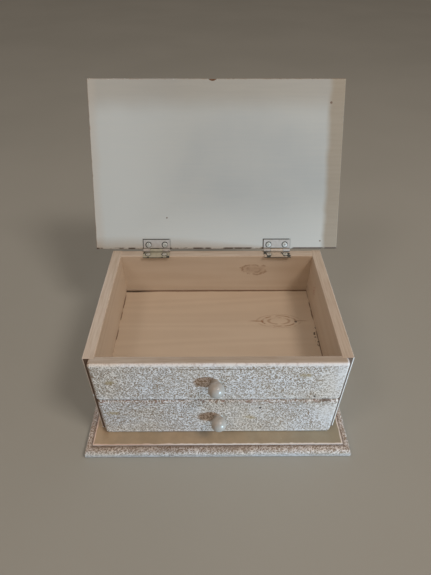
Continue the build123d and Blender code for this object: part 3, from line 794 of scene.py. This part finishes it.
def lid_material():
    """Cream inner face, crackled outside, with worn edges, and bare wood with painted shadow of the gap
    to the case along its foot.
    """
    paint = Paint("lid_paint")
    paint.turned(lid_directions, lid_origin)
    x, away, depth = paint.split(paint.place)
    face = lid_high[2]
    brushed = paint.noise(420, 104.0, detail=3.0, stretch=streaks("x", 0.05))
    inner = lid_inner(paint, x, away, brushed)
    near_edge = paint.near_edge(lid_low, lid_high, 1.1 * MM, scale=170, seed=105.0, detail=4.0)
    outer, film = crackle(paint, whiter=paint.step(near_edge, 0.0, 1.0, 0.25, 0.5))
    is_inner = paint.step(depth, face - 1.1 * MM, face - 0.5 * MM)
    colour = paint.mix(is_inner, outer, inner)
    worn = paint.all_of(near_edge, paint.flecks(150, 106.0, 0.52, detail=4.0), 0.6)
    colour = paint.mix(worn, colour, TAN)

    # dark strip along the foot: bare wood and painted shadow of the gap to the case
    foot = paint.step(paint.minus(away, lid_low[1]), 2.2 * MM, 1.4 * MM)
    more_at_right = paint.step(x, 84 * MM, 90 * MM, 0.0, 0.10)
    dark_here = paint.plus(paint.noise(60, 107.0, detail=4.0), more_at_right)
    foot_bare_and_shade = paint.all_of(foot, paint.step(dark_here, 0.47, 0.56), 0.9)
    colour = paint.mix(foot_bare_and_shade, colour, LID_FOOT_BARE_AND_SHADE)

    notch_centre = (NOTCH_X, lid_high[1] + NOTCH_RISE, face)
    notch = paint.spot(notch_centre, (NOTCH_RADIUS, NOTCH_RADIUS, 30 * MM))
    in_notch = paint.all_of(
        paint.step(notch, 1.03, 0.98),
        paint.step(depth, face - 0.1 * MM, face - 0.5 * MM),
        paint.step(depth, face - NOTCH_DEPTH, face - NOTCH_DEPTH + 0.2 * MM),
    )
    # bare wood with painted shade in the notch
    colour = paint.mix(in_notch, colour, NOTCH_WOOD_IN_SHADE)
    relief = paint.relief(brushed, 0.05 * MM, strength=0.5)
    crackled = paint.all_of(film, paint.no(is_inner))
    relief = paint.relief(crackled, CRACKLE_DEPTH, strength=0.9, under=relief)
    assign(paint.finish(colour, roughness=0.45, relief=relief), "lid_panel")


lid_material()


# ---- drawer box -------------------------------------------------------------------------------
def bare_material(name, along, seed):
    """Bare softwood, a little dusty."""
    paint = Paint(name)
    grain = grain_height(paint, along, seed)
    dust = paint.mottle(40, seed + 1, BARE, BARE_DUSTY, detail=4.0)
    colour = paint.mix(0.35, wood(paint, grain, BARE, BARE_DARK), dust)
    relief = paint.relief(grain, 0.10 * MM, strength=0.6)
    return paint.finish(colour, roughness=0.72, relief=relief)


assign(bare_material("drawer_side_wood", "y", 111.0), "drawer_left_side", "drawer_right_side")
assign(bare_material("drawer_back_wood", "x", 117.0), "drawer_back")
assign(bare_material("drawer_bottom_wood", "x", 123.0), "drawer_bottom")


# ---- knobs ------------------------------------------------------------------------------------
def knob_material():
    """Gloss paint with soft brush marks and a few nicks."""
    paint = Paint("knob_gloss")
    colour = paint.mottle(130, 131.0, *KNOB_TINTS, detail=3.0)
    colour = paint.mix(paint.flecks(420, 133.0, 0.70, detail=3.0), colour, TAN)
    paint.shader.inputs["Coat Weight"].default_value = 0.5
    paint.shader.inputs["Coat Roughness"].default_value = 0.22
    brush_marks = paint.relief(paint.noise(260, 135.0), 0.12 * MM, strength=0.4)
    return paint.finish(colour, roughness=0.4, relief=brush_marks)


assign(knob_material(), "upper_knob", "drawer_knob")


# ---- metal ------------------------------------------------------------------------------------
METAL_PAINT_ROUGHNESS = 0.42
SCREW_HALF = 9.3 * MM
SCREW_AWAY = 6.2 * MM
SCREW_RING = 2.95 * MM
KNUCKLE_EDGE = 2.3 * MM
CHIP_Z = -1.2 * MM
# chips in the case leaves' paint: how far across and away from the hinge axis, and radius, in mm
LEFT_CHIPS = ((-55.5, 10.8, 2.0), (-62, 11.9, 1.2), (-78, 11.9, 1.2), (-84, 3.4, 2.2))
RIGHT_CHIPS = (
    (59, 10.8, 2.3),
    (82, 9.6, 2.3),
    (81.8, 5.6, 1.8),
    (77, 9.6, 1.4),
    (54.6, 4.0, 2.4),
    (74.5, 4.2, 1.3),
)


def brushed_paint(paint, seed):
    """Relief of paint put on with a brush."""
    return paint.relief(paint.noise(420, seed, detail=3.0), BRUSH_DEPTH, strength=0.5)


def screw_material():
    """Cream paint brushed over the hinge screws, chipped down to dark metal."""
    paint = Paint("hinge_screw_paint")
    colour = paint.mottle(300, 161.0, *SCREW_TINTS, detail=3.0)
    colour = paint.mix(paint.flecks(330, 163.0, 0.62, detail=3.0), colour, CHIPPED_STEEL)
    return paint.finish(colour, METAL_PAINT_ROUGHNESS, brushed_paint(paint, 164.0))


def screw_dirt_and_shade(paint, x, away, seed):
    """Dark ring round each of a leaf's two screws, dirt with painted shade, strongest on its side up and
    to the left where the shade falls.
    """
    across = from_mirrored(paint, from_mirrored(paint, x, hinge_x), SCREW_HALF)
    up = paint.minus(away, SCREW_AWAY)
    from_screw = paint.vector("LENGTH", paint.flat(across, up))
    ring = paint.step(paint.apart(from_screw, SCREW_RING), 0.95 * MM, 0.5 * MM)
    uneven = paint.plus(paint.minus(up, across), paint.all_of(paint.noise(200, seed), 6 * MM))
    return paint.all_of(ring, paint.step(uneven, 0.5 * MM, 3 * MM, 0.4, 1.0))


def leaf_material(name, directions, tints, seed, chipped, chips):
    """Painted leaf with dirt and painted shade round its screws, painted shade in the crease along its
    knuckles, and dark cut edges.
    """
    paint = Paint(name)
    paint.turned(directions, lid_origin)
    x, away = paint.split(paint.place)[:2]
    worn = paint.flecks(330, seed + 2, chipped, detail=3.0)
    # dirt and painted shade round the screws
    dirt = screw_dirt_and_shade(paint, x, away, seed + 4)
    # painted shade in the crease where the leaf meets its knuckles
    knuckle_crease_shade = paint.step(paint.apart(away, KNUCKLE_EDGE), 0.6 * MM, 0.2 * MM)
    sideways = paint.step(paint.vector("DOT_PRODUCT", paint.normal, UP), 0.6, 0.3)
    cut_edge = paint.all_of(sideways, paint.step(away, 2 * MM, 3 * MM), 0.85)
    dark = paint.any_of(worn, dirt, paint.all_of(knuckle_crease_shade, 0.7), cut_edge)
    for across, out, radius in chips:
        chip = paint.spot((across * MM, out * MM, CHIP_Z), (radius * MM,) * 3, ragged=0.7, seed=out)
        dark = paint.any_of(dark, paint.step(chip, 1.15, 0.85))
    colour = paint.mix(dark, paint.mottle(300, seed, *tints, detail=3.0), METAL_DIRT_AND_SHADE)
    return paint.finish(colour, METAL_PAINT_ROUGHNESS, brushed_paint(paint, seed + 3))


for name, directions, tints, seed, chipped, chips in (
    ("left_hinge_lid_leaf", lid_directions, LID_LEAF_TINTS, 141.0, 0.70, ()),
    ("right_hinge_lid_leaf", lid_directions, LID_LEAF_TINTS, 147.0, 0.70, ()),
    ("left_hinge_case_leaf", case_directions, CASE_LEAF_TINTS, 151.0, 0.68, LEFT_CHIPS),
    ("right_hinge_case_leaf", case_directions, RIM_LEAF_TINTS, 157.0, 0.65, RIGHT_CHIPS),
):
    assign(leaf_material(f"{name}_paint", directions, tints, seed, chipped, chips), name)
assign(screw_material(), "case_hinge_screws", "lid_hinge_screws")


def plated_metal():
    """Dull zinc plating with fine grain."""
    paint = Paint("dull_plating")
    paint.shader.inputs["Metallic"].default_value = 1.0
    tarnish = paint.mottle(500, 171.0, *ZINC_TINTS, detail=4.0)
    fine_grain = paint.relief(paint.noise(1500, 173.0), 0.05 * MM, strength=0.4)
    return paint.finish(tarnish, roughness=0.4, relief=fine_grain)


assign(
    plated_metal(),
    "left_hinge_pin",
    "right_hinge_pin",
    "base_screws",
    "case_nails",
    "drawer_nails",
    "upper_knob_screw",
    "drawer_knob_screw",
)


# ---- floor and light --------------------------------------------------------------------------
FLOOR_REACH = 8
LAMP_SIZE = (0.45, 0.45)


def floor_stage():
    """Plain pale matt floor."""
    mesh = bpy.data.meshes.new("floor")
    corners = [(x * FLOOR_REACH, y * FLOOR_REACH, 0) for x, y in ((-1, -1), (1, -1), (1, 1), (-1, 1))]
    mesh.from_pydata(corners, [], [(0, 1, 2, 3)])
    floor = bpy.data.objects.new("floor", mesh)
    bpy.context.collection.objects.link(floor)
    paint = Paint("floor_matt")
    paint.shader.inputs["Specular IOR Level"].default_value = 0.0
    colour = paint.mottle(3, 181.0, *STUDIO_FLOOR_TINTS)
    mesh.materials.append(paint.finish(colour, roughness=0.9))
    return floor


def soft_light(name, place, size, energy, colour, aim=(0, 0, 0.1), kept_off=None):
    """Area light at a place, aimed at another; kept_off is an object that it doesn't light."""
    light = bpy.data.objects.new(name, bpy.data.lights.new(name, "AREA"))
    light.data.shape = "RECTANGLE"
    light.data.size, light.data.size_y = size
    light.data.energy = energy
    light.data.color = colour
    light.location = place
    light.rotation_euler = (Vector(aim) - Vector(place)).to_track_quat("-Z", "Y").to_euler()
    bpy.context.collection.objects.link(light)
    if kept_off is not None:
        left_out = bpy.data.collections.new(f"{name}_leaves_out")
        left_out.objects.link(kept_off)
        left_out.collection_objects[0].light_linking.link_state = "EXCLUDE"
        light.light_linking.receiver_collection = left_out


floor = floor_stage()
soft_light(
    "window",
    place=(1.30, -1.25, 0.065),
    size=(0.20, 0.10),
    energy=28.4,
    colour=WINDOW_LIGHT,
    aim=(0, 0, 0.14),
    kept_off=floor,
)
soft_light("right_lamp", place=(0.85, -0.7, 1.7), size=LAMP_SIZE, energy=11.0, colour=LAMP_LIGHT)
soft_light("left_lamp", place=(-0.85, -0.7, 1.7), size=LAMP_SIZE, energy=3.4, colour=LAMP_LIGHT)
soft_light(
    "back_fill",
    place=(-0.6, 1.7, 0.35),
    size=(1.2, 0.5),
    energy=24.0,
    colour=FILL_LIGHT,
    aim=(0, 0, 0.15),
    kept_off=floor,
)
world = bpy.data.worlds.new("studio")
world.use_nodes = True
background = world.node_tree.nodes["Background"]
background.inputs["Color"].default_value = WORLD_LIGHT
background.inputs["Strength"].default_value = WORLD_STRENGTH
bpy.context.scene.world = world
bpy.context.scene.view_settings.view_transform = "Standard"
